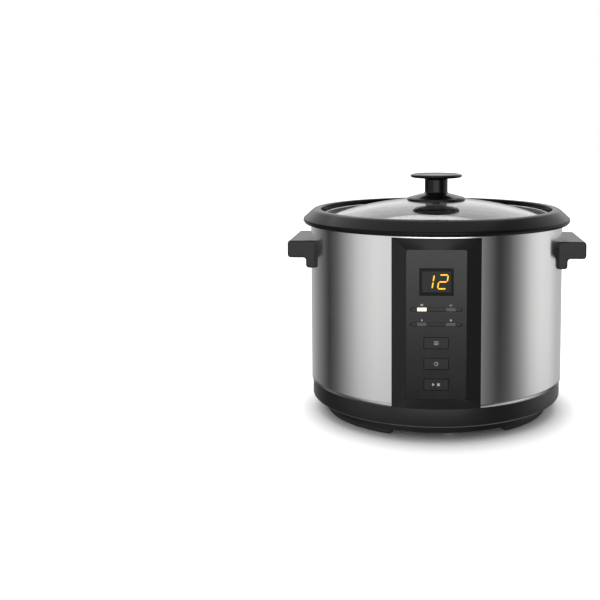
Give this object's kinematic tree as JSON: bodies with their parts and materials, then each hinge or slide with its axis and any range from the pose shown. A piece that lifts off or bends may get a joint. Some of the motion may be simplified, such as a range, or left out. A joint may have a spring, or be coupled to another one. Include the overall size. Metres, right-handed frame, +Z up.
{
  "type": "rice cooker",
  "caption": "Round electric rice cooker: steel shell, black rim, base and side handles, lift-off domed glass lid, removable pot, front panel with display and push buttons.",
  "frame": {"origin": "centre of the footprint, on the surface it stands on", "axes": "+Z up along the pot's axis, +X towards the right-hand handle, -Y towards the control panel"},
  "size_m": [0.3008, 0.2772, 0.2431],
  "materials": {
    "rim_black": "satin moulded black",
    "base_black": "satin moulded black",
    "cover_grey": "galvanised sheet",
    "foot_rubber": "matt",
    "shell_steel": "brushed around",
    "liner_steel": "rolled sheet",
    "plate_aluminium": "machined cast aluminium",
    "heater_steel": "heat-tinted tube",
    "fastener_steel": "zinc plated",
    "sensor_aluminium": "drawn cap",
    "pot_coating": "dark non-stick coating",
    "lid_glass": "clear tempered",
    "band_steel": "polished",
    "gasket_silicone": "black silicone",
    "knob_black": "polished phenolic",
    "handle_black": "satin",
    "frame_black": "satin",
    "panel_black": "semi-gloss film",
    "button_black": "semi-gloss",
    "window_smoke": "smoked acrylic",
    "lamp_lit": "lit light pipe",
    "lamp_clear": "frosted light pipe",
    "board_green": "solder mask",
    "component_black": "moulded",
    "ribbon_grey": "flat cable",
    "inlet_black": "moulded",
    "pin_brass": "plated"
  },
  "bodies": {
    "housing": {"base_housing": "base_black", "bottom_cover": "cover_grey", "foot_left": "foot_rubber", "foot_right": "foot_rubber", "foot_back": "foot_rubber", "base_screws": "fastener_steel", "outer_shell": "shell_steel", "rim_ring": "rim_black", "rim_screws": "fastener_steel", "inner_liner": "liner_steel", "liner_screws": "fastener_steel", "heating_plate": "plate_aluminium", "heater_tube": "heater_steel", "heater_terminals": "pin_brass", "heater_posts": "fastener_steel", "heater_screws": "fastener_steel", "sensor_bracket": "liner_steel", "sensor_spring": "fastener_steel", "thermal_fuse": "pin_brass", "fuse_clip": "liner_steel", "handle_right": "handle_black", "handle_left": "handle_black", "right_handle_screws": "fastener_steel", "left_handle_screws": "fastener_steel", "panel_frame": "frame_black", "control_plate": "panel_black", "display_window": "window_smoke", "display_module": "component_black", "indicator_lamp_lit": "lamp_lit", "indicator_lamps": "lamp_clear", "indicator_bars": "panel_black", "control_board": "board_green", "control_board_screws": "fastener_steel", "button_switches": "component_black", "power_board": "board_green", "board_standoffs": "fastener_steel", "power_board_screws": "fastener_steel", "power_relay": "component_black", "power_transformer": "component_black", "ribbon_connector": "component_black", "panel_ribbon": "ribbon_grey", "inlet_socket": "inlet_black", "inlet_pins": "pin_brass", "inlet_screws": "fastener_steel"},
    "pot": {"pot_side": "pot_coating", "pot_floor": "pot_coating"},
    "lid": {"lid_glass": "lid_glass", "lid_band": "band_steel", "lid_gasket": "gasket_silicone", "lid_knob": "knob_black", "knob_washer": "gasket_silicone", "knob_screw": "fastener_steel", "vent_eyelet": "band_steel"},
    "upper_button": {"button_upper": "button_black"},
    "middle_button": {"button_middle": "button_black"},
    "lower_button": {"button_lower": "button_black"},
    "sensor": {"sensor_cap": "sensor_aluminium", "temperature_probe": "component_black"}
  },
  "joints": [
    {"name": "pot_lift", "type": "slide", "parent": "housing", "child": "pot", "axis": [0, 0, 1], "range_m": [0, 0.15]},
    {"name": "lid_lift", "type": "slide", "parent": "pot", "child": "lid", "axis": [0, 0, 1], "range_m": [0, 0.1]},
    {"name": "upper_button_press", "type": "slide", "parent": "housing", "child": "upper_button", "axis": [0, 1, 0], "range_m": [0, 0.0008], "stiffness_N_per_m": 500, "springref_m": -0.0005},
    {"name": "middle_button_press", "type": "slide", "parent": "housing", "child": "middle_button", "axis": [0, 1, 0], "range_m": [0, 0.0008], "stiffness_N_per_m": 500, "springref_m": -0.0005},
    {"name": "lower_button_press", "type": "slide", "parent": "housing", "child": "lower_button", "axis": [0, 1, 0], "range_m": [0, 0.0008], "stiffness_N_per_m": 500, "springref_m": -0.0005},
    {"name": "sensor_press", "type": "slide", "parent": "housing", "child": "sensor", "axis": [0, 0, 1], "range_m": [-0.002, 0], "stiffness_N_per_m": 300, "springref_m": 0.004, "deforming": ["sensor_spring"]}
  ]
}
